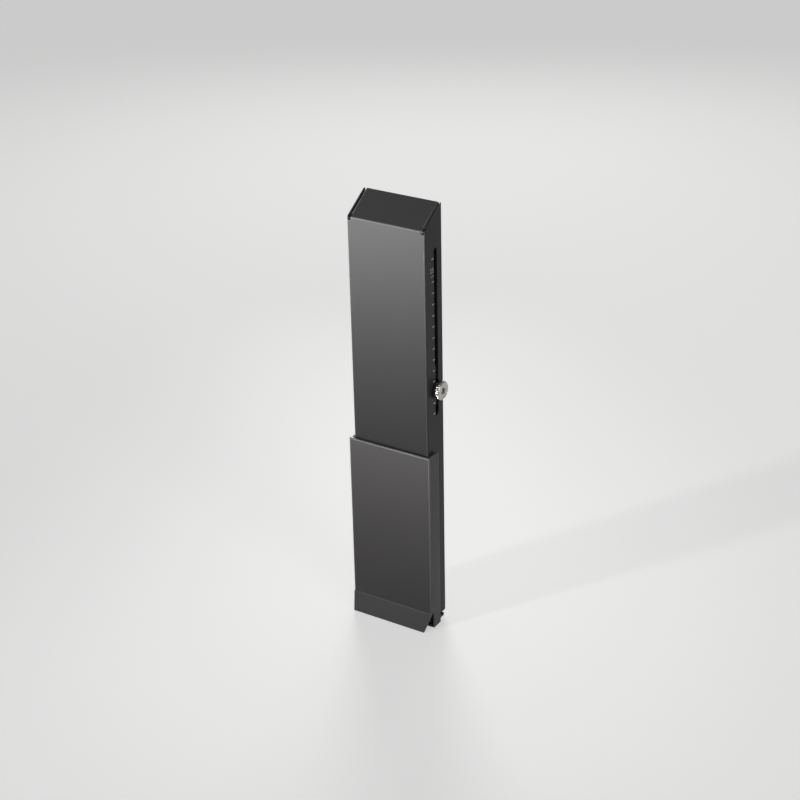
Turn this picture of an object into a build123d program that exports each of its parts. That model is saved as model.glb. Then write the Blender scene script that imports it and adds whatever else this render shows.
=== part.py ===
from build123d import *
import os
from math import hypot

os.makedirs("parts", exist_ok=True)

# A height-adjustable support for a graphics card. X is across the bracket, Y runs from its plain
# front to its back, Z is up from the floor, and the origin lies on the floor under the column's axis.

# Column: one folded sheet with a slotted right side and a top that slopes up to the back
column_width = 55.5
column_depth = 20.0
column_sheet = 1.0
column_bend = 1.0
column_front_top = 280.8
column_top_rise = 12.5
flap_gap = 0.6
flap_root = 4.0
flap_start = 0.7
flap_tab = 4.0
flap_bend = 1.2
relief_radius = 1.25
relief_drop = 2.2
relief_rise = 3.4
lip_width = 8.0
lip_top_margin = 4.0

# Slot for the arm's thumbscrew and the play round its shank
slot_setback = 12.0
slot_play = 0.2
slot_top_margin = 14.0
slot_bottom_margin = 24.4

# Wide back flange at the foot of the column, with the slot that sets its height
height_travel = 60.0
back_flange_gap = 1.0
back_flange_margin = 16.0

# Base sleeve: one folded sheet with a hemmed top edge and a skirt that flares forward
sleeve_sheet = 1.0
sleeve_bend = 1.2
slide_gap = 0.3
sleeve_gap = 0.7
sleeve_top = 128.6
sleeve_side_depth = 11.5
hem_height = 8.0
hem_round = 0.8
skirt_fold = 11.9
skirt_flare = 5.8
skirt_taper = 3.0
skirt_bend = 1.0
sleeve_relief = 3.0
floor_tab_reach = 12.0

# Base bracket: floor plate, upright tongue inside the column and a rear tab cut out of the tongue
bracket_sheet = 2.0
bracket_bend = 3.0
bracket_gap = 0.5
tongue_height = 112.0
tongue_corner = 5.0
rear_tab_width = 27.0
rear_tab_length = 22.0
rear_tab_corner = 4.0
window_gap = 0.6
foot_hole = 3.8
foot_hole_spacing = 18.0
foot_hole_setback = 14.0
rivet_shank = 3.0
rivet_head = 5.2
rivet_head_height = 0.9
rivet_head_chamfer = 0.5

# Thumbscrews, their washers and the nuts pressed into the sheet
screw_shank = 3.5
screw_length = 8.0
head_diameter = 12.4
head_height = 4.2
head_chamfer = 0.8
knurl_count = 28
knurl_depth = 0.45
recess_span = 6.4
recess_width = 1.5
recess_depth = 1.8
washer_diameter = 9.6
washer_thickness = 0.5
clamp_gap = 0.15
turn_gap = 0.1
nut_diameter = 6.4
nut_height = 2.6
nut_spigot = 4.9
thread_play = 0.2

# Arm: carriage inside the column, arm behind it and a ribbed rubber pad on top
clamp_height = 171.3
lock_height = 80.0
carriage_sheet = 1.2
carriage_bend = 1.5
carriage_gap = 0.3
carriage_depth = 11.0
carriage_height = 28.0
carriage_below = 12.0
arm_sheet = 2.0
arm_bend = 3.0
arm_width = 23.0
arm_reach = 26.0
arm_rib_root = 9.0
arm_rib_tip = 4.0
arm_rib_gap = 1.0
arm_edge_round = 1.5
arm_screw_shank = 2.5
arm_screw_head = 5.2
arm_screw_head_height = 1.5
arm_screw_head_chamfer = 0.5
arm_screw_spacing = 13.0
arm_screw_height = 9.0
arm_screw_tail = 0.8
pad_thickness = 3.0
pad_border = 2.0
pad_corner = 3.0
pad_rib_pitch = 5.0
pad_groove_width = 2.0
pad_groove_depth = 1.0

# Faces that several pieces share
column_front = -column_depth / 2
column_back = column_depth / 2
column_inner_back = column_back - column_sheet
column_inner_width = column_width - 2 * column_sheet
column_back_top = column_front_top + column_top_rise
sleeve_wall = 2 * sleeve_sheet
sleeve_width = column_width + 2 * (sleeve_gap + sleeve_wall)
sleeve_front = column_front - sleeve_gap - sleeve_wall
sleeve_back = sleeve_front + sleeve_side_depth
plate_top = sleeve_sheet + bracket_sheet
plate_front = sleeve_front + sleeve_sheet + bracket_gap
plate_width = sleeve_width - 2 * (sleeve_sheet + bracket_gap)
column_bottom = plate_top + slide_gap
tongue_back = column_inner_back - slide_gap
tongue_front = tongue_back - bracket_sheet
tongue_width = column_inner_width - 2 * bracket_gap
bend_start = tongue_back - bracket_bend
tab_end = tongue_back + rear_tab_length
foot_hole_y = tongue_back + foot_hole_setback
rivet_x = (sleeve_width - floor_tab_reach) / 2 - sleeve_sheet
rivet_y = (sleeve_front + sleeve_relief + sleeve_back) / 2
slot_width = screw_shank + 2 * slot_play
slot_y = column_front + slot_setback
slot_bottom = sleeve_top + slot_bottom_margin
slot_top = column_front_top - slot_top_margin
lock_slot_length = height_travel + slot_width
back_flange_top = lock_height + slot_width / 2 + back_flange_margin
carriage_width = column_inner_width - 2 * carriage_gap
carriage_back = column_inner_back - carriage_gap
carriage_bottom = clamp_height - carriage_below
carriage_side = carriage_width / 2 - carriage_sheet
arm_top = carriage_bottom + carriage_height
arm_flange_back = carriage_back + arm_sheet
arm_tip = arm_flange_back + arm_reach
arm_rib_start = arm_flange_back + arm_bend - arm_sheet + arm_rib_gap
arm_screw_z = carriage_bottom + arm_screw_height
arm_screw_hole = arm_screw_shank + thread_play
thread_bore = screw_shank + thread_play
washer_seat = clamp_gap + washer_thickness + turn_gap


def channel(width, depth, sheet, bend, web, inward):
    """Draw the section of a channel whose web lies at web and whose two flanges point inward."""
    middle = web + inward * depth / 2
    with Locations((0, middle)):
        Rectangle(width, depth)
    fillet(vertices().filter_by(lambda corner: abs(corner.Y - web) < sheet / 10), bend)
    with Locations((0, middle + inward * sheet)):
        Rectangle(width - 2 * sheet, depth, mode=Mode.SUBTRACT)
    inner_web = web + inward * sheet
    fillet(vertices().filter_by(lambda corner: abs(corner.Y - inner_web) < sheet / 10), bend - sheet)


def thumbscrew(seat):
    """Make a knurled screw whose head stands on the seat plane, with its shank behind the plane."""
    with BuildPart() as screw:
        with BuildSketch(seat):
            Circle(head_diameter / 2)
        extrude(amount=head_height)
        chamfer(edges().filter_by(GeomType.CIRCLE), head_chamfer)
        with BuildSketch(seat):
            with PolarLocations(head_diameter / 2, knurl_count):
                RegularPolygon(knurl_depth, 4)
        extrude(amount=head_height, mode=Mode.SUBTRACT)
        with BuildSketch(seat.offset(head_height)):
            Rectangle(recess_span, recess_width)
            Rectangle(recess_width, recess_span)
        extrude(amount=-recess_depth, mode=Mode.SUBTRACT)
        with BuildSketch(seat):
            Circle(screw_shank / 2)
        extrude(amount=-screw_length)
    return screw.part


def washer(seat):
    """Make a flat washer that lies on the seat plane."""
    with BuildPart() as ring:
        with BuildSketch(seat):
            Circle(washer_diameter / 2)
            Circle(slot_width / 2, mode=Mode.SUBTRACT)
        extrude(amount=washer_thickness)
    return ring.part


def pressed_nut(seat, sheet):
    """Make a nut whose body lies behind the seat plane and whose spigot fills a hole in the sheet."""
    with BuildPart() as nut:
        with BuildSketch(seat):
            Circle(nut_diameter / 2)
        extrude(amount=-nut_height)
        with BuildSketch(seat):
            Circle(nut_spigot / 2)
        extrude(amount=sheet)
        with BuildSketch(seat.offset(sheet)):
            Circle(thread_bore / 2)
        extrude(amount=-sheet - nut_height, mode=Mode.SUBTRACT)
    return nut.part


# Column
with BuildPart() as column:
    with BuildSketch(Plane.XY.offset(column_bottom)):
        Rectangle(column_width, column_depth)
        fillet(vertices(), column_bend)
        Rectangle(column_inner_width, column_depth - 2 * column_sheet, mode=Mode.SUBTRACT)
    extrude(amount=column_back_top - column_bottom)
    # opening between the two lips, with a slit down beside the wide flange, and clear of the top
    with BuildSketch(Plane.XZ.offset(-column_inner_back)):
        with Locations((0, back_flange_top)):
            Rectangle(column_width - 2 * lip_width, column_back_top, align=(Align.CENTER, Align.MIN))
        with Locations((lip_width - column_width / 2, column_bottom)):
            Rectangle(back_flange_gap, back_flange_top, align=(Align.MIN, Align.MIN))
        with Locations((0, column_back_top - column_sheet - lip_top_margin)):
            Rectangle(column_inner_width, column_back_top, align=(Align.CENTER, Align.MIN))
    extrude(amount=-column_sheet, mode=Mode.SUBTRACT)
    # sides cut along the slope of the top
    with BuildSketch(Plane.YZ):
        with BuildLine():
            Polyline(
                (column_front, column_front_top),
                (column_back, column_back_top),
                (column_back, column_back_top + column_top_rise),
                (column_front, column_back_top + column_top_rise),
                close=True,
            )
        make_face()
    extrude(amount=column_width, both=True, mode=Mode.SUBTRACT)
    # sloping top between the two sides, with its edges folded down, flush with the back
    slope_length = hypot(column_depth, column_top_rise)
    flap_half = column_inner_width / 2 - flap_gap
    flap_end = Plane(
        (0, column_back, column_back_top),
        x_dir=(1, 0, 0),
        z_dir=(0, -column_depth, -column_top_rise),
    )
    with BuildSketch(flap_end.offset(-flap_tab)):
        channel(2 * flap_half, flap_tab, column_sheet, flap_bend, 0, -1)
    extrude(amount=slope_length + flap_tab - flap_start)
    with BuildSketch(Plane.XZ.offset(-column_back)):
        with Locations((0, column_back_top)):
            Rectangle(column_width, 4 * flap_tab)
    extrude(amount=-2 * flap_tab, mode=Mode.SUBTRACT)
    # fold between the front and the top
    fold_half = flap_half - flap_bend
    flap_drop = column_sheet * slope_length / column_depth
    fold_drop = column_sheet * (slope_length - column_top_rise) / column_depth
    with BuildSketch(Plane.XZ.offset(-column_front)):
        with Locations((0, column_front_top - flap_root)):
            Rectangle(2 * fold_half, column_top_rise, align=(Align.CENTER, Align.MIN))
    extrude(amount=-column_sheet, mode=Mode.SUBTRACT)
    with BuildSketch(Plane.YZ):
        with BuildLine():
            Polyline(
                (column_front, column_front_top - flap_root),
                (column_front, column_front_top),
                (column_back, column_back_top),
                (column_back, column_back_top - flap_drop),
                (column_front + column_sheet, column_front_top - fold_drop),
                (column_front + column_sheet, column_front_top - flap_root),
                close=True,
            )
        make_face()
        fillet(vertices().group_by(Axis.X)[0].sort_by(Axis.Y)[-1], column_bend)
    extrude(amount=fold_half, both=True)
    # front ends of the folded-down edges, which reach the front behind the reliefs
    tab_front = column_front + column_sheet
    tab_drop = flap_tab * slope_length / column_depth
    tab_rise = flap_tab * column_top_rise / column_depth
    with BuildSketch(Plane.YZ.offset(flap_half), Plane.YZ.offset(column_sheet - flap_half)):
        with BuildLine():
            Polyline(
                (tab_front, column_front_top - flap_root),
                (tab_front, column_front_top - fold_drop),
                (tab_front + flap_tab, column_front_top - fold_drop + tab_rise),
                (tab_front + flap_tab, column_front_top + tab_rise - tab_drop),
                close=True,
            )
        make_face()
    extrude(amount=-column_sheet)
    # round-ended bend reliefs at the two front corners, down the front and up the slope
    slope_face = Plane(
        (0, column_front, column_front_top),
        x_dir=(1, 0, 0),
        z_dir=(0, -column_top_rise, column_depth),
    )
    with BuildSketch(Plane.XZ.offset(-column_front)):
        with Locations((0, column_front_top)):
            with GridLocations(2 * flap_half, 1, 2, 1):
                SlotOverall(2 * relief_drop, 2 * relief_radius, rotation=90)
    extrude(amount=-column_sheet, mode=Mode.SUBTRACT)
    with BuildSketch(slope_face):
        with GridLocations(2 * flap_half, 1, 2, 1):
            SlotOverall(2 * relief_rise, 2 * relief_radius, rotation=90)
    extrude(amount=-column_sheet, mode=Mode.SUBTRACT)
    # slot for the arm's thumbscrew in the right side
    with BuildSketch(Plane.YZ.offset(column_width / 2)):
        with Locations((slot_y, (slot_bottom + slot_top) / 2)):
            SlotOverall(slot_top - slot_bottom, slot_width, rotation=90)
    extrude(amount=-column_sheet, mode=Mode.SUBTRACT)
    # slot for the height lock in the wide back flange
    with BuildSketch(Plane.XZ.offset(-column_inner_back)):
        with Locations((0, lock_height - height_travel / 2)):
            SlotOverall(lock_slot_length, slot_width, rotation=90)
    extrude(amount=-column_sheet, mode=Mode.SUBTRACT)
column.part.label = "column"
export_step(column.part, "parts/column.step")

# Base sleeve
with BuildPart() as base_sleeve:
    # skirt that flares forward to the floor, narrower at its foot
    skirt_run = sleeve_sheet * hypot(skirt_fold, skirt_flare) / skirt_fold
    skirt_miter = sleeve_sheet * (hypot(skirt_fold, skirt_flare) - skirt_fold) / skirt_flare
    with BuildSketch(Plane.YZ):
        with BuildLine():
            Polyline(
                (sleeve_front, skirt_fold + sleeve_bend),
                (sleeve_front, skirt_fold),
                (sleeve_front - skirt_flare, 0),
                (sleeve_front - skirt_flare + skirt_run, 0),
                (sleeve_front + sleeve_sheet, skirt_fold - skirt_miter),
                (sleeve_front + sleeve_sheet, skirt_fold + sleeve_bend),
                close=True,
            )
        make_face()
        fillet(vertices().sort_by_distance((sleeve_front, skirt_fold))[0], skirt_bend)
    extrude(amount=sleeve_width / 2, both=True)
    with BuildSketch(Plane.XZ.offset(-sleeve_front - sleeve_sheet)):
        for side in (-1, 1):
            with BuildLine():
                Polyline(
                    (side * (sleeve_width / 2 - sleeve_bend), skirt_fold + 2 * sleeve_bend),
                    (side * (sleeve_width / 2 - sleeve_bend), skirt_fold),
                    (side * sleeve_width / 2, skirt_fold),
                    (side * (sleeve_width / 2 - skirt_taper), 0),
                    (side * sleeve_width, 0),
                    (side * sleeve_width, skirt_fold + 2 * sleeve_bend),
                    close=True,
                )
            make_face()
    extrude(amount=2 * (skirt_flare + sleeve_sheet), mode=Mode.SUBTRACT)
    # front and sides above the fold
    with BuildSketch(Plane.XY.offset(skirt_fold)):
        channel(sleeve_width, sleeve_side_depth, sleeve_sheet, sleeve_bend, sleeve_front, 1)
    extrude(amount=sleeve_top - skirt_fold)
    # hem: the top edge folded back on itself inside the sleeve
    with BuildSketch(Plane.XY.offset(sleeve_top - hem_height)):
        with Locations((0, sleeve_back)):
            Rectangle(
                sleeve_width - 2 * sleeve_sheet,
                sleeve_side_depth - sleeve_sheet,
                align=(Align.CENTER, Align.MAX),
            )
            Rectangle(
                sleeve_width - 2 * sleeve_wall,
                sleeve_side_depth - sleeve_wall,
                align=(Align.CENTER, Align.MAX),
                mode=Mode.SUBTRACT,
            )
    extrude(amount=hem_height)
    hem_edges = faces().sort_by(Axis.Z)[-1].outer_wire().edges()
    fillet(hem_edges.sort_by(Axis.Y)[:-2], hem_round)
    # sides on down to the floor, with a tab folded in from each
    with BuildSketch():
        with Locations((0, sleeve_back)):
            Rectangle(
                sleeve_width,
                sleeve_side_depth - sleeve_relief,
                align=(Align.CENTER, Align.MAX),
            )
            Rectangle(
                sleeve_width - 2 * sleeve_sheet,
                sleeve_side_depth,
                align=(Align.CENTER, Align.MAX),
                mode=Mode.SUBTRACT,
            )
    extrude(amount=skirt_fold)
    with BuildSketch():
        with Locations((0, sleeve_back)):
            Rectangle(
                sleeve_width - sleeve_sheet,
                sleeve_side_depth - sleeve_relief,
                align=(Align.CENTER, Align.MAX),
            )
            Rectangle(
                sleeve_width - 2 * floor_tab_reach,
                sleeve_side_depth,
                align=(Align.CENTER, Align.MAX),
                mode=Mode.SUBTRACT,
            )
    extrude(amount=sleeve_sheet)
    with BuildSketch():
        with Locations((0, rivet_y)):
            with GridLocations(2 * rivet_x, 1, 2, 1):
                Circle(rivet_shank / 2)
    extrude(amount=sleeve_sheet, mode=Mode.SUBTRACT)
base_sleeve.part.label = "base_sleeve"
export_step(base_sleeve.part, "parts/base_sleeve.step")

# Base bracket
with BuildPart() as base_bracket:
    # tongue folded up from the floor plate
    with BuildSketch(Plane.YZ):
        with BuildLine():
            Polyline(
                (plate_front, sleeve_sheet),
                (tongue_back, sleeve_sheet),
                (tongue_back, tongue_height),
                (tongue_front, tongue_height),
                (tongue_front, plate_top),
                (plate_front, plate_top),
                close=True,
            )
        make_face()
        fillet(vertices().sort_by_distance((tongue_back, sleeve_sheet))[0], bracket_bend)
        fillet(
            vertices().sort_by_distance((tongue_front, plate_top))[0],
            bracket_bend - bracket_sheet,
        )
    extrude(amount=tongue_width / 2, both=True)
    fillet(edges().filter_by(Axis.Y).group_by(Axis.Z)[-1], tongue_corner)
    # floor plate reaches out under the column's walls
    with BuildSketch(Plane.XY.offset(sleeve_sheet)):
        with Locations((0, plate_front)):
            Rectangle(plate_width, bend_start - plate_front, align=(Align.CENTER, Align.MIN))
    extrude(amount=bracket_sheet)
    # window in the tongue, left where the rear tab stays flat
    with BuildSketch(Plane.XZ.offset(-bend_start)):
        with Locations((0, sleeve_sheet)):
            Rectangle(
                rear_tab_width + 2 * window_gap,
                rear_tab_length + window_gap,
                align=(Align.CENTER, Align.MIN),
            )
    extrude(amount=-bracket_bend, mode=Mode.SUBTRACT)
    with BuildSketch(Plane.XY.offset(sleeve_sheet)):
        with Locations((0, tab_end)):
            Rectangle(rear_tab_width, tab_end - bend_start, align=(Align.CENTER, Align.MAX))
        fillet(vertices().group_by(Axis.Y)[-1], rear_tab_corner)
    extrude(amount=bracket_sheet)
    # screw holes to the floor, rivet holes to the sleeve and the hole for the lock's nut
    with BuildSketch(Plane.XY.offset(sleeve_sheet)):
        with Locations((0, foot_hole_y)):
            with GridLocations(foot_hole_spacing, 1, 2, 1):
                Circle(foot_hole / 2)
        with Locations((0, rivet_y)):
            with GridLocations(2 * rivet_x, 1, 2, 1):
                Circle(rivet_shank / 2)
    extrude(amount=bracket_sheet, mode=Mode.SUBTRACT)
    with BuildSketch(Plane.XZ.offset(-tongue_front)):
        with Locations((0, lock_height)):
            Circle(nut_spigot / 2)
    extrude(amount=-bracket_sheet, mode=Mode.SUBTRACT)
base_bracket.part.label = "base_bracket"
export_step(base_bracket.part, "parts/base_bracket.step")

# Rivets, flush with the floor and with a coned head on the plate
with BuildPart() as base_rivets:
    with BuildSketch():
        with Locations((0, rivet_y)):
            with GridLocations(2 * rivet_x, 1, 2, 1):
                Circle(rivet_shank / 2)
    extrude(amount=plate_top)
    with BuildSketch(Plane.XY.offset(plate_top)):
        with Locations((0, rivet_y)):
            with GridLocations(2 * rivet_x, 1, 2, 1):
                Circle(rivet_head / 2)
    extrude(amount=rivet_head_height)
    chamfer(edges().group_by(Axis.Z)[-1], rivet_head_chamfer)
base_rivets.part.label = "base_rivets"
export_step(base_rivets.part, "parts/base_rivets.step")

# Rubber sheet under the floor plate and its rear tab, with room for the floor screws
with BuildPart() as base_pad:
    with BuildSketch():
        with Locations((0, tab_end)):
            Rectangle(rear_tab_width, tab_end - plate_front, align=(Align.CENTER, Align.MAX))
        fillet(vertices(), rear_tab_corner)
        with Locations((0, foot_hole_y)):
            with GridLocations(foot_hole_spacing, 1, 2, 1):
                Circle(foot_hole / 2, mode=Mode.SUBTRACT)
    extrude(amount=sleeve_sheet)
base_pad.part.label = "base_pad"
export_step(base_pad.part, "parts/base_pad.step")

# Height lock behind the column
lock_nut = pressed_nut(Plane((0, tongue_front, lock_height), z_dir=(0, 1, 0)), bracket_sheet)
lock_nut.label = "lock_nut"
export_step(lock_nut, "parts/lock_nut.step")

lock_washer = washer(Plane((0, column_back + clamp_gap, lock_height), z_dir=(0, 1, 0)))
lock_washer.label = "lock_washer"
export_step(lock_washer, "parts/lock_washer.step")

lock_thumbscrew = thumbscrew(Plane((0, column_back + washer_seat, lock_height), z_dir=(0, 1, 0)))
lock_thumbscrew.label = "lock_thumbscrew"
export_step(lock_thumbscrew, "parts/lock_thumbscrew.step")

# Carriage that slides inside the column, with its web against the lips
with BuildPart() as arm_carriage:
    with BuildSketch(Plane.XY.offset(carriage_bottom)):
        channel(carriage_width, carriage_depth, carriage_sheet, carriage_bend, carriage_back, -1)
    extrude(amount=carriage_height)
    with BuildSketch(Plane.YZ.offset(carriage_side)):
        with Locations((slot_y, clamp_height)):
            Circle(nut_spigot / 2)
    extrude(amount=carriage_sheet, mode=Mode.SUBTRACT)
    with BuildSketch(Plane.XZ.offset(-carriage_back)):
        with Locations((0, arm_screw_z)):
            with GridLocations(arm_screw_spacing, 1, 2, 1):
                Circle(arm_screw_hole / 2)
    extrude(amount=carriage_sheet, mode=Mode.SUBTRACT)
arm_carriage.part.label = "arm_carriage"
export_step(arm_carriage.part, "parts/arm_carriage.step")

# Thumbscrew that clamps the carriage to the column's right side
carriage_nut = pressed_nut(Plane((carriage_side, slot_y, clamp_height), z_dir=(1, 0, 0)), carriage_sheet)
carriage_nut.label = "carriage_nut"
export_step(carriage_nut, "parts/carriage_nut.step")

clamp_washer = washer(Plane((column_width / 2 + clamp_gap, slot_y, clamp_height), z_dir=(1, 0, 0)))
clamp_washer.label = "clamp_washer"
export_step(clamp_washer, "parts/clamp_washer.step")

clamp_seat = column_width / 2 + washer_seat
clamp_thumbscrew = thumbscrew(Plane((clamp_seat, slot_y, clamp_height), z_dir=(1, 0, 0)))
clamp_thumbscrew.label = "clamp_thumbscrew"
export_step(clamp_thumbscrew, "parts/clamp_thumbscrew.step")

# Support arm: a shelf behind the column with ribs folded down along its sides
with BuildPart() as support_arm:
    with BuildSketch(Plane.YZ):
        with BuildLine():
            Polyline(
                (carriage_back, carriage_bottom),
                (carriage_back, arm_top),
                (arm_tip, arm_top),
                (arm_tip, arm_top - arm_sheet),
                (arm_flange_back, arm_top - arm_sheet),
                (arm_flange_back, carriage_bottom),
                close=True,
            )
        make_face()
        fillet(vertices().sort_by_distance((carriage_back, arm_top))[0], arm_bend)
        fillet(
            vertices().sort_by_distance((arm_flange_back, arm_top - arm_sheet))[0],
            arm_bend - arm_sheet,
        )
    extrude(amount=arm_width / 2, both=True)
    with BuildSketch(Plane.YZ.offset(arm_width / 2), Plane.YZ.offset(arm_sheet - arm_width / 2)):
        with BuildLine():
            Polyline(
                (arm_rib_start, arm_top),
                (arm_tip, arm_top),
                (arm_tip, arm_top - arm_rib_tip),
                (arm_rib_start, arm_top - arm_rib_root),
                close=True,
            )
        make_face()
    extrude(amount=-arm_sheet)
    fillet(edges().filter_by(Axis.Y).group_by(Axis.Z)[-1], arm_edge_round)
    with BuildSketch(Plane.XZ.offset(-arm_flange_back)):
        with Locations((0, arm_screw_z)):
            with GridLocations(arm_screw_spacing, 1, 2, 1):
                Circle(arm_screw_hole / 2)
    extrude(amount=arm_sheet, mode=Mode.SUBTRACT)
support_arm.part.label = "support_arm"
export_step(support_arm.part, "parts/support_arm.step")

# Screws that hold the arm to the carriage
with BuildPart() as arm_screws:
    with BuildSketch(Plane.XZ.offset(-arm_flange_back)):
        with Locations((0, arm_screw_z)):
            with GridLocations(arm_screw_spacing, 1, 2, 1):
                Circle(arm_screw_head / 2)
    extrude(amount=-arm_screw_head_height)
    chamfer(edges().group_by(Axis.Y)[-1], arm_screw_head_chamfer)
    with BuildSketch(Plane.XZ.offset(-arm_flange_back)):
        with Locations((0, arm_screw_z)):
            with GridLocations(arm_screw_spacing, 1, 2, 1):
                Circle(arm_screw_shank / 2)
    extrude(amount=arm_sheet + carriage_sheet + arm_screw_tail)
arm_screws.part.label = "arm_screws"
export_step(arm_screws.part, "parts/arm_screws.step")

# Rubber pad under the card, grooved across the arm
pad_length = arm_tip - arm_flange_back - 2 * pad_border
pad_middle = (arm_tip + arm_flange_back) / 2
with BuildPart() as arm_pad:
    with BuildSketch(Plane.XY.offset(arm_top)):
        with Locations((0, pad_middle)):
            RectangleRounded(arm_width - 2 * pad_border, pad_length, pad_corner)
    extrude(amount=pad_thickness)
    with BuildSketch(Plane.XY.offset(arm_top + pad_thickness)):
        with Locations((0, pad_middle)):
            with GridLocations(1, pad_rib_pitch, 1, int((pad_length - pad_corner) // pad_rib_pitch)):
                Rectangle(arm_width, pad_groove_width)
    extrude(amount=-pad_groove_depth, mode=Mode.SUBTRACT)
arm_pad.part.label = "arm_pad"
export_step(arm_pad.part, "parts/arm_pad.step")
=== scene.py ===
import math

import bpy
from mathutils import Matrix, Vector


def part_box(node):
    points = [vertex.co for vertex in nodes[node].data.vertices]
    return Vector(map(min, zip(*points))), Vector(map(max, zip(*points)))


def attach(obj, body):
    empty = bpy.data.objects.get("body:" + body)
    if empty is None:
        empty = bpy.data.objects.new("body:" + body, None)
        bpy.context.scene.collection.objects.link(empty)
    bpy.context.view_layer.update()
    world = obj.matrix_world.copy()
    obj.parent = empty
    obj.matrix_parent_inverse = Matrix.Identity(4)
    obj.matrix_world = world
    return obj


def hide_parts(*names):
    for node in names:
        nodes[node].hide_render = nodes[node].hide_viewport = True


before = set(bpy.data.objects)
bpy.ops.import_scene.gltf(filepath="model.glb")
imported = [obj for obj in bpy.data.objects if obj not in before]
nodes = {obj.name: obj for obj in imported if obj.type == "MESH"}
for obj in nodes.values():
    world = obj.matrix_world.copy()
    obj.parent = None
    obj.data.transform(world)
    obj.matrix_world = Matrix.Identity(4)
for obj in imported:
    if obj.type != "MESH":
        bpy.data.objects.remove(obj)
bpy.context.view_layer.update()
print("frame loaded with", len(nodes), "pieces")


def mm(value):
    return value / 1000


def hexColour(text):
    # sRGB hex to the linear values that shaders take
    parts = [int(text[i:i + 2], 16) / 255 for i in (1, 3, 5)]
    return [p / 12.92 if p <= 0.04045 else ((p + 0.055) / 1.055) ** 2.4 for p in parts] + [1.0]


def shadeOf(colour, factor):
    return [min(part * factor, 1) for part in colour[:3]] + [1]


def addNode(tree, kind, inputs=None, **settings):
    node = tree.nodes.new(kind)
    for name, value in settings.items():
        setattr(node, name, value)
    for name, value in (inputs or {}).items():
        if isinstance(value, bpy.types.NodeSocket):
            tree.links.new(value, node.inputs[name])
        else:
            node.inputs[name].default_value = value
    return node


def startMaterial(name):
    material = bpy.data.materials.new(name)
    material.use_nodes = True
    material.node_tree.nodes.clear()
    return material, material.node_tree


def finishMaterial(tree, shader):
    addNode(tree, "ShaderNodeOutputMaterial", {"Surface": shader.outputs[0]})


def spreadShade(ramp, colour, values):
    # a finish is a little uneven: its noise runs from the darkest to the palest shade
    ramp.color_ramp.elements[0].color = shadeOf(colour, values["darkest"])
    ramp.color_ramp.elements[1].color = shadeOf(colour, values["palest"])


def dress(piece, material):
    piece.data.materials.clear()
    piece.data.materials.append(material)


def deselectAll():
    if bpy.context.object and bpy.context.object.mode != "OBJECT":
        bpy.ops.object.mode_set(mode="OBJECT")
    bpy.ops.object.select_all(action="DESELECT")


def makeActive(piece):
    deselectAll()
    piece.select_set(True)
    bpy.context.view_layer.objects.active = piece


def joinPieces(pieces):
    makeActive(pieces[0])
    for piece in pieces[1:]:
        piece.select_set(True)
    bpy.ops.object.join()
    return bpy.context.object


def faceOutward():
    # the last step of a mesh's edit
    bpy.ops.mesh.select_all(action="SELECT")
    bpy.ops.mesh.normals_make_consistent(inside=False)
    bpy.ops.object.mode_set(mode="OBJECT")


# Camera at the photo's angle, for a square frame
cameraValues = {
    "sensorMm": 36,
    "lensMm": 82.13,
    "nearM": 0.01,
    "place": (0.5561, -0.8772, 0.6816),
    "aim": (0.00768, -0.0100, 0.1640),
    "rollDegrees": -1.29,
}


def placeCamera(values):
    deselectAll()
    bpy.ops.object.camera_add()
    camera = bpy.context.object
    camera.name = "photoCamera"
    camera.data.sensor_width = values["sensorMm"]
    camera.data.lens = values["lensMm"]
    camera.data.clip_start = values["nearM"]
    place = Vector(values["place"])
    forward = (Vector(values["aim"]) - place).normalized()
    right = forward.cross(Vector((0, 0, 1))).normalized()
    up = right.cross(forward)
    roll = math.radians(values["rollDegrees"])
    across = right * math.cos(roll) + up * math.sin(roll)
    upward = up * math.cos(roll) - right * math.sin(roll)
    turn = Matrix((across, upward, -forward)).transposed()
    camera.matrix_world = Matrix.Translation(place) @ turn.to_4x4()
    bpy.context.scene.camera = camera


placeCamera(cameraValues)
print("camera placed")


# Powder coat on folded steel: an even satin grey with a fine orange peel that softens
# each highlight, with a painted highlight in a paler colour along each fold and cut edge,
# which is also smoother there
greyCoatValues = {
    "colour": "#404041", "roughness": 0.40, "sheen": 0.13,
    "peelMm": 0.5, "peelDepthMm": 0.006, "cloudMm": 45,
    "paintedFoldHighlight": 2.3, "foldSmoother": 0.12,
}
sleeveCoatValues = {
    "colour": "#676565", "roughness": 0.40, "sheen": 0.17,
    "peelMm": 0.5, "peelDepthMm": 0.006, "cloudMm": 45,
    "paintedFoldHighlight": 2.2, "foldSmoother": 0.12,
}
blackCoatValues = {
    "colour": "#262627", "roughness": 0.52, "sheen": 0.3,
    "peelMm": 0.6, "peelDepthMm": 0.010, "cloudMm": 30,
    "paintedFoldHighlight": 1.4, "foldSmoother": 0.08,
}
# What the three coats share: the painted fold highlight runs from patchLeast to full between two
# tones of cloud
coatValues = {
    "darkest": 0.96, "palest": 1.04, "cloudDetail": 3.0, "peelDetail": 2.0, "glossSpread": 0.03,
    "patchFrom": 0.35, "patchTo": 0.65, "patchLeast": 0.7, "ior": 1.5,
}


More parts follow.
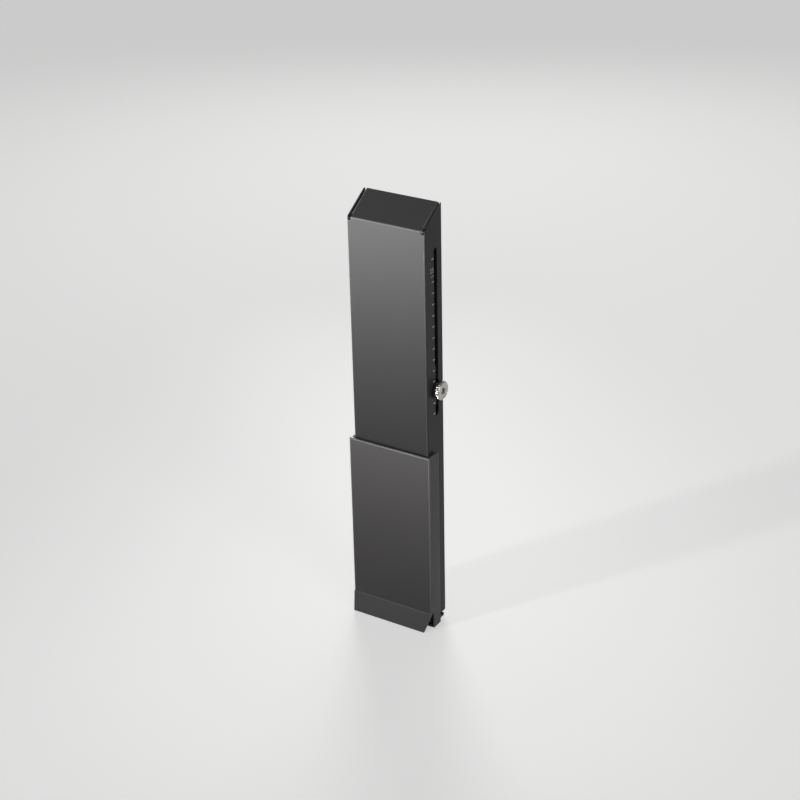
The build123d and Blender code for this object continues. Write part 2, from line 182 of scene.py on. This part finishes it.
def makePowderCoat(name, values, shared):
    material, tree = startMaterial(name)
    place = addNode(tree, "ShaderNodeTexCoord").outputs["Object"]
    colour = hexColour(values["colour"])
    cloud = addNode(tree, "ShaderNodeTexNoise", {
        "Vector": place, "Scale": 1 / mm(values["cloudMm"]), "Detail": shared["cloudDetail"]})
    shade = addNode(tree, "ShaderNodeValToRGB", {"Fac": cloud.outputs["Fac"]})
    spreadShade(shade, colour, shared)
    peel = addNode(tree, "ShaderNodeTexNoise", {
        "Vector": place, "Scale": 1 / mm(values["peelMm"]), "Detail": shared["peelDetail"]})
    gloss = addNode(tree, "ShaderNodeMapRange", {
        "Value": peel.outputs["Fac"],
        "To Min": values["roughness"] - shared["glossSpread"],
        "To Max": values["roughness"] + shared["glossSpread"]})
    bump = addNode(tree, "ShaderNodeBump", {
        "Height": peel.outputs["Fac"], "Distance": mm(values["peelDepthMm"]), "Strength": 1.0})
    fold = addNode(tree, "ShaderNodeAttribute", attribute_name="fold")
    patchy = addNode(tree, "ShaderNodeMapRange", {
        "Value": cloud.outputs["Fac"],
        "From Min": shared["patchFrom"], "From Max": shared["patchTo"],
        "To Min": shared["patchLeast"], "To Max": 1.0})
    # painted highlight: the faces round each fold get a paler copy of the coat's colour in place
    # of the light they would catch, and a little less roughness
    paintedHighlightMask = addNode(tree, "ShaderNodeMath", {
        0: fold.outputs["Fac"], 1: patchy.outputs["Result"]}, operation="MULTIPLY")
    withPaintedHighlight = addNode(tree, "ShaderNodeMix", {
        0: paintedHighlightMask.outputs[0], 6: shade.outputs["Color"],
        7: shadeOf(colour, values["paintedFoldHighlight"])}, data_type="RGBA")
    smoother = addNode(tree, "ShaderNodeMath", {
        0: paintedHighlightMask.outputs[0], 1: -values["foldSmoother"],
        2: gloss.outputs["Result"]}, operation="MULTIPLY_ADD")
    shader = addNode(tree, "ShaderNodeBsdfPrincipled", {
        "Base Color": withPaintedHighlight.outputs[2],
        "Roughness": smoother.outputs[0],
        "Normal": bump.outputs["Normal"],
        "Specular IOR Level": values["sheen"],
        "IOR": shared["ior"]})
    finishMaterial(tree, shader)
    return material


greyCoat = makePowderCoat("satinGreyPowderCoat", greyCoatValues, coatValues)
sleeveCoat = makePowderCoat("sleeveGreyPowderCoat", sleeveCoatValues, coatValues)
blackCoat = makePowderCoat("matteBlackPowderCoat", blackCoatValues, coatValues)


# Metals: bright nickel plate on the thumbscrews, dull zinc plate on the small fasteners
nickelValues = {"colour": "#b6b4ae", "roughness": 0.2, "grainMm": 0.4}
zincValues = {"colour": "#b2b5b8", "roughness": 0.36, "grainMm": 0.9}
platingValues = {"darkest": 0.88, "palest": 1.08, "grainDetail": 3.0, "glossSpread": 0.07}


def makePlatedMetal(name, values, shared):
    material, tree = startMaterial(name)
    place = addNode(tree, "ShaderNodeTexCoord").outputs["Object"]
    grain = addNode(tree, "ShaderNodeTexNoise", {
        "Vector": place, "Scale": 1 / mm(values["grainMm"]), "Detail": shared["grainDetail"]})
    gloss = addNode(tree, "ShaderNodeMapRange", {
        "Value": grain.outputs["Fac"],
        "To Min": values["roughness"] - shared["glossSpread"],
        "To Max": values["roughness"] + shared["glossSpread"]})
    shade = addNode(tree, "ShaderNodeValToRGB", {"Fac": grain.outputs["Fac"]})
    spreadShade(shade, hexColour(values["colour"]), shared)
    shader = addNode(tree, "ShaderNodeBsdfPrincipled", {
        "Base Color": shade.outputs["Color"],
        "Roughness": gloss.outputs["Result"],
        "Metallic": 1.0})
    finishMaterial(tree, shader)
    return material


nickel = makePlatedMetal("brightNickelPlate", nickelValues, platingValues)
zinc = makePlatedMetal("zincPlatedSteel", zincValues, platingValues)


# Moulded rubber: near black and dull, with a fine moulded grain
rubberValues = {
    "colour": "#1c1c1d", "darkest": 0.8, "palest": 1.2, "roughness": 0.8, "ior": 1.52,
    "grainMm": 0.45, "grainDepthMm": 0.02, "grainDetail": 2.0,
}


def makeRubber(name, values):
    material, tree = startMaterial(name)
    place = addNode(tree, "ShaderNodeTexCoord").outputs["Object"]
    grain = addNode(tree, "ShaderNodeTexNoise", {
        "Vector": place, "Scale": 1 / mm(values["grainMm"]), "Detail": values["grainDetail"]})
    bump = addNode(tree, "ShaderNodeBump", {
        "Height": grain.outputs["Fac"], "Distance": mm(values["grainDepthMm"]), "Strength": 1.0})
    shade = addNode(tree, "ShaderNodeValToRGB", {"Fac": grain.outputs["Fac"]})
    spreadShade(shade, hexColour(values["colour"]), values)
    shader = addNode(tree, "ShaderNodeBsdfPrincipled", {
        "Base Color": shade.outputs["Color"],
        "Roughness": values["roughness"],
        "Normal": bump.outputs["Normal"],
        "IOR": values["ior"]})
    finishMaterial(tree, shader)
    return material


rubber = makeRubber("mouldedRubber", rubberValues)
print("materials made")


# Folded, pressed and moulded pieces: a copy of each, with its sharp edges broken a little
# so that they catch the light
easedPieces = {
    "column": {"edgeMm": 0.20, "body": "column", "slot": "grey_coat", "finish": greyCoat,
               "plainSpotMm": (25.6, -8.6, 280.4), "plainReachMm": 1.2},
    "base_sleeve": {"edgeMm": 0.20, "body": "base", "slot": "grey_coat", "finish": sleeveCoat,
                    "plainSpotMm": (30.0, -12.0, 11.9), "plainReachMm": 0.8},
    "base_bracket": {"edgeMm": 0.25, "body": "base", "slot": "black_coat", "finish": blackCoat},
    "arm_carriage": {"edgeMm": 0.20, "body": "arm", "slot": "black_coat", "finish": blackCoat},
    "support_arm": {"edgeMm": 0.25, "body": "arm", "slot": "black_coat", "finish": blackCoat},
    "base_pad": {"edgeMm": 0.20, "body": "base", "slot": "rubber", "finish": rubber},
    "arm_pad": {"edgeMm": 0.35, "body": "arm", "slot": "rubber", "finish": rubber},
    "base_rivets": {"edgeMm": 0.25, "body": "base", "slot": "zinc", "finish": zinc},
    "lock_nut": {"edgeMm": 0.20, "body": "base", "slot": "zinc", "finish": zinc},
    "carriage_nut": {"edgeMm": 0.20, "body": "arm", "slot": "zinc", "finish": zinc},
    "lock_washer": {"edgeMm": 0.12, "body": "lock_washer", "slot": "zinc", "finish": zinc},
    "clamp_washer": {"edgeMm": 0.12, "body": "clamp_washer", "slot": "zinc", "finish": zinc},
}
easeValues = {
    "mergeMm": 0.001, "flatDegrees": 0.5, "sharpDegrees": 40, "smoothDegrees": 35,
    "edgeSteps": 2, "foldFaceMm": 0.35,
}


def inPlainSpot(place, values):
    across, along, height = values["plainSpotMm"]
    gaps = (abs(place.x) - mm(across), place.y - mm(along), place.z - mm(height))
    return max(abs(gap) for gap in gaps) < mm(values["plainReachMm"])


def markFolds(piece, widest):
    # the narrow faces are the ones that turn round a fold or an edge; the coats paint a highlight
    # on them
    mesh = piece.data
    fold = mesh.attributes.new("fold", "FLOAT", "FACE")
    for face in mesh.polygons:
        ends = [mesh.vertices[i].co for i in face.vertices]
        longest = max((a - b).length for a, b in zip(ends, ends[1:] + ends[:1]))
        fold.data[face.index].value = 1.0 if face.area < longest * widest else 0.0


def easeEdges(name, values, shared):
    piece = bpy.data.objects.new(name + "Eased", nodes[name].data.copy())
    bpy.context.collection.objects.link(piece)
    makeActive(piece)
    # the fixed normals that came with the solid's mesh don't fit the new edges
    bpy.ops.mesh.customdata_custom_splitnormals_clear()
    bpy.ops.object.mode_set(mode="EDIT")
    bpy.ops.mesh.select_all(action="SELECT")
    bpy.ops.mesh.remove_doubles(threshold=mm(shared["mergeMm"]))
    bpy.ops.mesh.dissolve_limited(angle_limit=math.radians(shared["flatDegrees"]))
    bpy.ops.mesh.select_mode(type="EDGE")
    bpy.ops.mesh.select_all(action="DESELECT")
    bpy.ops.mesh.edges_select_sharp(sharpness=math.radians(shared["sharpDegrees"]))
    bpy.ops.object.mode_set(mode="OBJECT")
    if "plainSpotMm" in values:
        # the short edges round a bend relief, left and right, stay as cut
        for face in piece.data.polygons:
            face.select = False
        for edge in piece.data.edges:
            ends = [piece.data.vertices[i].co for i in edge.vertices]
            edge.select = edge.select and not any(inPlainSpot(end, values) for end in ends)
    bpy.ops.object.mode_set(mode="EDIT")
    bpy.ops.mesh.bevel(
        offset=mm(values["edgeMm"]), segments=shared["edgeSteps"], clamp_overlap=False)
    bpy.ops.object.mode_set(mode="OBJECT")
    bpy.ops.object.shade_smooth_by_angle(angle=math.radians(shared["smoothDegrees"]))
    flat = piece.modifiers.new("flat", "WEIGHTED_NORMAL")
    flat.keep_sharp = True
    bpy.ops.object.modifier_apply(modifier="flat")
    markFolds(piece, mm(shared["foldFaceMm"]))
    dress(piece, values["finish"])
    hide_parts(name)
    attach(piece, values["body"])


for name, values in easedPieces.items():
    easeEdges(name, values, easeValues)
print("edges eased")


# Screws: a head raised ring by ring, a tapered cross recess and a rolled thread.
# Each ring is a rise and the width that it then has.
thumbscrewValues = {
    "startMm": 11.6,
    "ringsMm": ((0.4, 12.4), (3.0, 12.4), (0.8, 10.8), (0.0, 9.2), (-0.25, 8.8)),
    "facets": 84, "knurlDepthMm": 0.45, "headMm": 4.2,
    "recessSpanMm": 7.0, "recessWidthMm": 2.0, "recessDepthMm": 2.6, "recessDegrees": 24,
    "shankMm": 3.5, "threadPitchMm": 0.8, "threadDepthMm": 0.45, "turns": 10, "edgeMm": 0.07,
}
armScrewValues = {
    "startMm": 5.2,
    "ringsMm": ((0.6, 5.2), (0.45, 4.8), (0.3, 3.9), (0.15, 2.4)),
    "facets": 48, "knurlDepthMm": 0.0, "headMm": 1.5,
    "recessSpanMm": 2.8, "recessWidthMm": 0.7, "recessDepthMm": 0.9, "recessDegrees": 18,
    "shankMm": 2.5, "threadPitchMm": 0.5, "threadDepthMm": 0.28, "turns": 8, "edgeMm": 0.04,
}
screwValues = {
    "grooveEvery": 3, "rimSlackMm": 0.05, "recessTaper": 0.5, "edgeSteps": 2,
    "sharpDegrees": 40, "smoothDegrees": 30, "threadSteps": 20, "threadMergeMm": 0.002,
}


def selectVertices(piece, wanted):
    bpy.ops.object.mode_set(mode="EDIT")
    bpy.ops.mesh.select_mode(type="VERT")
    bpy.ops.mesh.select_all(action="DESELECT")
    bpy.ops.object.mode_set(mode="OBJECT")
    for vertex in piece.data.vertices:
        vertex.select = wanted(vertex.co)
    bpy.ops.object.mode_set(mode="EDIT")


def raiseHead(values, shared):
    deselectAll()
    bpy.ops.mesh.primitive_circle_add(
        vertices=values["facets"], radius=mm(values["startMm"]) / 2, fill_type="NGON")
    head = bpy.context.object
    bpy.ops.object.mode_set(mode="EDIT")
    bpy.ops.mesh.select_mode(type="FACE")
    bpy.ops.mesh.select_all(action="SELECT")
    before = values["startMm"]
    for rise, across in values["ringsMm"]:
        wider = across / before
        bpy.ops.mesh.extrude_region_move(TRANSFORM_OT_translate={"value": (0, 0, mm(rise))})
        bpy.ops.transform.resize(value=(wider, wider, 1), center_override=(0, 0, 0))
        before = across
    if values["knurlDepthMm"]:
        # upright lines of the widest rings go in, an even step apart, and leave straight teeth
        widest = max(across for rise, across in values["ringsMm"]) / 2
        step = 2 * math.pi / values["facets"]
        selectVertices(head, lambda place: (
            math.hypot(place.x, place.y) > mm(widest - shared["rimSlackMm"])
            and round(math.atan2(place.y, place.x) / step) % shared["grooveEvery"] == 0))
        inward = 1 - values["knurlDepthMm"] / widest
        bpy.ops.transform.resize(value=(inward, inward, 1), center_override=(0, 0, 0))
    faceOutward()
    return head


def cutRecess(head, values, shared):
    for turn in (values["recessDegrees"], values["recessDegrees"] + 90):
        deselectAll()
        bpy.ops.mesh.primitive_cube_add(size=1)
        bar = bpy.context.object
        bar.scale = [mm(values[key]) for key in ("recessSpanMm", "recessWidthMm", "recessDepthMm")]
        bar.scale.z *= 2  # the upper half stands clear of the head
        bpy.ops.object.transform_apply(location=False, rotation=False, scale=True)
        selectVertices(bar, lambda place: place.z < 0)
        bpy.ops.transform.resize(value=(shared["recessTaper"], 1, 1), center_override=(0, 0, 0))
        bpy.ops.object.mode_set(mode="OBJECT")
        bar.rotation_euler.z = math.radians(turn)
        bar.location.z = mm(values["headMm"])
        bpy.ops.object.transform_apply(location=True, rotation=True, scale=True)
        makeActive(head)
        cut = head.modifiers.new("recess", "BOOLEAN")
        cut.operation = "DIFFERENCE"
        cut.solver = "EXACT"
        cut.object = bar
        bpy.ops.object.modifier_apply(modifier="recess")
        bpy.data.objects.remove(bar, do_unlink=True)
    edge = head.modifiers.new("edge", "BEVEL")
    edge.width = mm(values["edgeMm"])
    edge.segments = shared["edgeSteps"]
    edge.limit_method = "ANGLE"
    edge.angle_limit = math.radians(shared["sharpDegrees"])
    bpy.ops.object.modifier_apply(modifier="edge")


def rollThread(values, shared):
    # one tooth of a 60 degree thread, a triangle without its base, swept down the shank
    # and closed at its ends
    pitch = mm(values["threadPitchMm"])
    toothRadius = pitch / math.sqrt(3)
    toothHeight = 1.5 * toothRadius
    flatten = mm(values["threadDepthMm"]) / toothHeight
    deselectAll()
    bpy.ops.mesh.primitive_circle_add(
        vertices=3, radius=toothRadius, rotation=(math.radians(90), math.radians(90), 0))
    thread = bpy.context.object
    bpy.ops.object.transform_apply(location=False, rotation=True, scale=False)
    selectVertices(thread, lambda place: place.x < 0)
    bpy.ops.mesh.delete(type="EDGE_FACE")
    bpy.ops.object.mode_set(mode="OBJECT")
    thread.scale.x = flatten
    thread.location.x = mm(values["shankMm"]) / 2 - toothRadius * flatten
    thread.location.z = pitch * (0.5 - values["turns"])
    bpy.ops.object.transform_apply(location=True, rotation=True, scale=True)
    sweep = thread.modifiers.new("sweep", "SCREW")
    sweep.axis = "Z"
    sweep.screw_offset = pitch
    sweep.iterations = values["turns"]
    sweep.steps = shared["threadSteps"]
    sweep.render_steps = shared["threadSteps"]
    bpy.ops.object.modifier_apply(modifier="sweep")
    bpy.ops.object.mode_set(mode="EDIT")
    bpy.ops.mesh.select_all(action="SELECT")
    bpy.ops.mesh.remove_doubles(threshold=mm(shared["threadMergeMm"]))
    bpy.ops.mesh.fill_holes(sides=0)
    faceOutward()
    return thread


def makeScrew(values, shared):
    head = raiseHead(values, shared)
    cutRecess(head, values, shared)
    screw = joinPieces([head, rollThread(values, shared)])
    bpy.ops.object.shade_smooth_by_angle(angle=math.radians(shared["smoothDegrees"]))
    return screw


def placeScrew(model, name, seat, turn):
    # a copy with its own mesh, its head's underside on the seat and its axis turned outwards
    screw = bpy.data.objects.new(name, model.data.copy())
    bpy.context.collection.objects.link(screw)
    makeActive(screw)
    screw.rotation_euler = [math.radians(angle) for angle in turn]
    screw.location = seat
    bpy.ops.object.transform_apply(location=True, rotation=True, scale=True)
    return screw


def seatOf(box, axis, headMm):
    # the middle of a solid's box, moved out along one axis to the underside of the head
    low, high = box
    seat = [(a + b) / 2 for a, b in zip(low, high)]
    seat[axis] = high[axis] - mm(headMm)
    return seat


acrossAxis = 0
backAxis = 1
turnedRight = (0, 90, 0)
turnedBack = (-90, 0, 0)
thumbscrewModel = makeScrew(thumbscrewValues, screwValues)
clampSeat = seatOf(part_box("clamp_thumbscrew"), acrossAxis, thumbscrewValues["headMm"])
lockSeat = seatOf(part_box("lock_thumbscrew"), backAxis, thumbscrewValues["headMm"])
clampScrew = placeScrew(thumbscrewModel, "clampThumbscrew", clampSeat, turnedRight)
lockScrew = placeScrew(thumbscrewModel, "lockThumbscrew", lockSeat, turnedBack)
bpy.data.objects.remove(thumbscrewModel, do_unlink=True)
for screw, node, body in (
        (clampScrew, "clamp_thumbscrew", "clamp_screw"),
        (lockScrew, "lock_thumbscrew", "lock_screw")):
    dress(screw, nickel)
    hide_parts(node)
    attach(screw, body)

armScrewModel = makeScrew(armScrewValues, screwValues)
armScrewLow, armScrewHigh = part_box("arm_screws")
armScrewInset = mm(armScrewValues["startMm"]) / 2
armScrewSeat = seatOf((armScrewLow, armScrewHigh), backAxis, armScrewValues["headMm"])
armScrewPair = [
    placeScrew(armScrewModel, "armScrews", (across, *armScrewSeat[1:]), turnedBack)
    for across in (armScrewLow[0] + armScrewInset, armScrewHigh[0] - armScrewInset)]
bpy.data.objects.remove(armScrewModel, do_unlink=True)
armScrews = joinPieces(armScrewPair)
dress(armScrews, zinc)
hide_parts("arm_screws")
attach(armScrews, "arm")
print("screws made")


# Scale printed in white on the column's right side, in front of the slot
printInkValues = {
    "colour": "#f0f0ec", "darkest": 0.85, "palest": 1.05, "roughness": 0.6,
    "speckMm": 0.5, "speckDetail": 2.0,
}
scaleValues = {
    "ticks": 15, "pitchMm": 7.5, "topMm": 260.6, "frontMm": -2.6, "tickMm": 2.4, "lineMm": 0.9,
    "cornerShare": 0.3, "cornerSteps": 3, "filmMm": 0.05, "mergeMm": 0.001,
    "numberAt": 1, "number": "25", "numberMm": 4.4, "numberBackMm": -0.3,
    "unit": "cm", "unitMm": 2.6, "curveSteps": 4,
}


def makePrintInk(name, values):
    # screen-printed ink: matt white that covers a little unevenly
    material, tree = startMaterial(name)
    place = addNode(tree, "ShaderNodeTexCoord").outputs["Object"]
    speck = addNode(tree, "ShaderNodeTexNoise", {
        "Vector": place, "Scale": 1 / mm(values["speckMm"]), "Detail": values["speckDetail"]})
    shade = addNode(tree, "ShaderNodeValToRGB", {"Fac": speck.outputs["Fac"]})
    spreadShade(shade, hexColour(values["colour"]), values)
    shader = addNode(tree, "ShaderNodeBsdfPrincipled", {
        "Base Color": shade.outputs["Color"], "Roughness": values["roughness"]})
    finishMaterial(tree, shader)
    return material


def printTick(place, values):
    # one stroke: a flat plate with rounded corners, on the side face
    film, line = mm(values["filmMm"]), mm(values["lineMm"])
    deselectAll()
    bpy.ops.mesh.primitive_cube_add(size=1, location=place)
    stroke = bpy.context.object
    stroke.scale = (film, mm(values["tickMm"]), line)
    bpy.ops.object.transform_apply(location=True, rotation=True, scale=True)
    bpy.ops.object.mode_set(mode="EDIT")
    bpy.ops.mesh.select_mode(type="EDGE")
    bpy.ops.mesh.select_all(action="DESELECT")
    bpy.ops.object.mode_set(mode="OBJECT")
    for edge in stroke.data.edges:
        a, b = (stroke.data.vertices[i].co for i in edge.vertices)
        edge.select = abs(a.x - b.x) > film / 2
    bpy.ops.object.mode_set(mode="EDIT")
    bpy.ops.mesh.bevel(offset=line * values["cornerShare"], segments=values["cornerSteps"])
    bpy.ops.object.mode_set(mode="OBJECT")
    return stroke


def printWord(word, heightMm, place, values):
    # characters that stand upright on the side face, read towards the back and end at the slot
    deselectAll()
    bpy.ops.object.text_add()
    words = bpy.context.object
    words.data.body = word
    words.data.size = mm(heightMm)
    words.data.align_x = "RIGHT"
    words.data.align_y = "CENTER"
    words.data.extrude = mm(values["filmMm"]) / 2
    words.data.resolution_u = values["curveSteps"]
    bpy.ops.object.convert(target="MESH")
    words = bpy.context.object
    words.rotation_euler = (math.radians(90), 0, math.radians(90))
    words.location = place
    bpy.ops.object.transform_apply(location=True, rotation=True, scale=True)
    return words


def printScale(values):
    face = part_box("column")[1][0]
    middle = mm(values["frontMm"] + values["tickMm"] / 2)
    end = mm(values["numberBackMm"])
    marks = []
    for i in range(values["ticks"]):
        height = mm(values["topMm"] - i * values["pitchMm"])
        if i == values["numberAt"]:
            under = height - mm(values["numberMm"] + values["unitMm"]) / 2
            marks.append(printWord(
                values["number"], values["numberMm"], (face, end, height), values))
            marks.append(printWord(values["unit"], values["unitMm"], (face, end, under), values))
        else:
            marks.append(printTick((face, middle, height), values))
    scale = joinPieces(marks)
    scale.name = "scalePrint"
    bpy.ops.object.mode_set(mode="EDIT")
    bpy.ops.mesh.select_all(action="SELECT")
    bpy.ops.mesh.remove_doubles(threshold=mm(values["mergeMm"]))
    faceOutward()
    return scale


scalePrint = printScale(scaleValues)
dress(scalePrint, makePrintInk("whiteScreenPrint", printInkValues))
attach(scalePrint, "column")
print("scale printed")


# Pale floor that the camera sees, with less of its bounce on the bracket
floorValues = {
    "sizeM": 12.0, "seen": "#e9e9e7", "bounced": "#666664", "roughness": 0.9, "glow": 0.5,
}


def shownDirectly(tree):
    # 1 where the camera sees it, straight or in metal or glass, and 0 for light that bounces
    path = addNode(tree, "ShaderNodeLightPath")
    seen = addNode(tree, "ShaderNodeMath", {
        0: path.outputs["Is Camera Ray"], 1: path.outputs["Is Glossy Ray"]}, operation="MAXIMUM")
    shown = addNode(tree, "ShaderNodeMath", {
        0: seen.outputs[0], 1: path.outputs["Is Transmission Ray"]}, operation="MAXIMUM")
    return shown.outputs[0]


def makeFloor(values):
    deselectAll()
    bpy.ops.mesh.primitive_plane_add(size=values["sizeM"], location=(0, 0, 0))
    floor = bpy.context.object
    floor.name = "floor"
    material, tree = startMaterial("paleFloor")
    pale = addNode(tree, "ShaderNodeBsdfPrincipled", {
        "Base Color": hexColour(values["seen"]), "Roughness": values["roughness"],
        "Specular IOR Level": 0.0,
        "Emission Color": (1, 1, 1, 1), "Emission Strength": values["glow"]})
    dull = addNode(tree, "ShaderNodeBsdfDiffuse", {"Color": hexColour(values["bounced"])})
    shader = addNode(tree, "ShaderNodeMixShader", {
        0: shownDirectly(tree), 1: dull.outputs[0], 2: pale.outputs[0]})
    finishMaterial(tree, shader)
    dress(floor, material)


makeFloor(floorValues)


# Soft panels: a key at the front left aimed up the column, a strip that the folds catch,
# a weak one at the right, and two behind. The world is paler to the eye than as a light.
lightValues = {
    "key": {"place": (-0.34, -0.62, 0.14), "aim": (0.0, 0.0, 0.41),
            "size": (0.40, 0.25), "watts": 1.08, "spreadDegrees": 48},
    "strip": {"place": (-0.50, -0.84, 0.54), "aim": (0.0, 0.0, 0.28),
              "size": (0.06, 0.50), "watts": 0.22, "spreadDegrees": 40},
    "side": {"place": (0.75, -0.35, 0.50), "aim": (0.03, 0.0, 0.22),
             "size": (0.30, 0.30), "watts": 0.11, "spreadDegrees": 60},
    "back": {"place": (-0.55, 1.05, 0.75), "aim": (0.0, 0.0, 0.15),
             "size": (0.8, 0.8), "watts": 2.0, "spreadDegrees": 140},
    "rear": {"place": (-0.42, 0.62, 0.24), "aim": (0.0, 0.0, 0.17),
             "size": (0.25, 0.25), "watts": 0.4, "spreadDegrees": 50},
}
worldValues = {"fill": 0.12, "horizon": 0.62, "zenith": 0.25, "zenithFrom": 0.9}


def addPanel(name, values):
    deselectAll()
    bpy.ops.object.light_add(type="AREA", location=values["place"])
    panel = bpy.context.object
    panel.name = name
    panel.data.shape = "RECTANGLE"
    panel.data.size, panel.data.size_y = values["size"]
    panel.data.energy = values["watts"]
    panel.data.spread = math.radians(values["spreadDegrees"])
    direction = Vector(values["aim"]) - Vector(values["place"])
    panel.rotation_euler = direction.to_track_quat("-Z", "Y").to_euler()
    panel.visible_camera = False


def lightWorld(values):
    world = bpy.data.worlds.new("studio")
    bpy.context.scene.world = world
    world.use_nodes = True
    tree = world.node_tree
    tree.nodes.clear()
    place = addNode(tree, "ShaderNodeTexCoord")
    height = addNode(tree, "ShaderNodeSeparateXYZ", {0: place.outputs["Generated"]})
    bright = addNode(tree, "ShaderNodeMapRange", {
        "Value": height.outputs["Z"], "From Min": 0.0, "From Max": values["zenithFrom"],
        "To Min": values["horizon"], "To Max": values["zenith"]})
    strength = addNode(tree, "ShaderNodeMix", {
        0: shownDirectly(tree), 2: values["fill"], 3: bright.outputs["Result"]})
    background = addNode(tree, "ShaderNodeBackground", {
        "Color": (1, 1, 1, 1), "Strength": strength.outputs[0]})
    addNode(tree, "ShaderNodeOutputWorld", {"Surface": background.outputs[0]})


for name, values in lightValues.items():
    addPanel(name + "Panel", values)
lightWorld(worldValues)
bpy.context.scene.view_settings.view_transform = "Standard"
print("floor and light set")
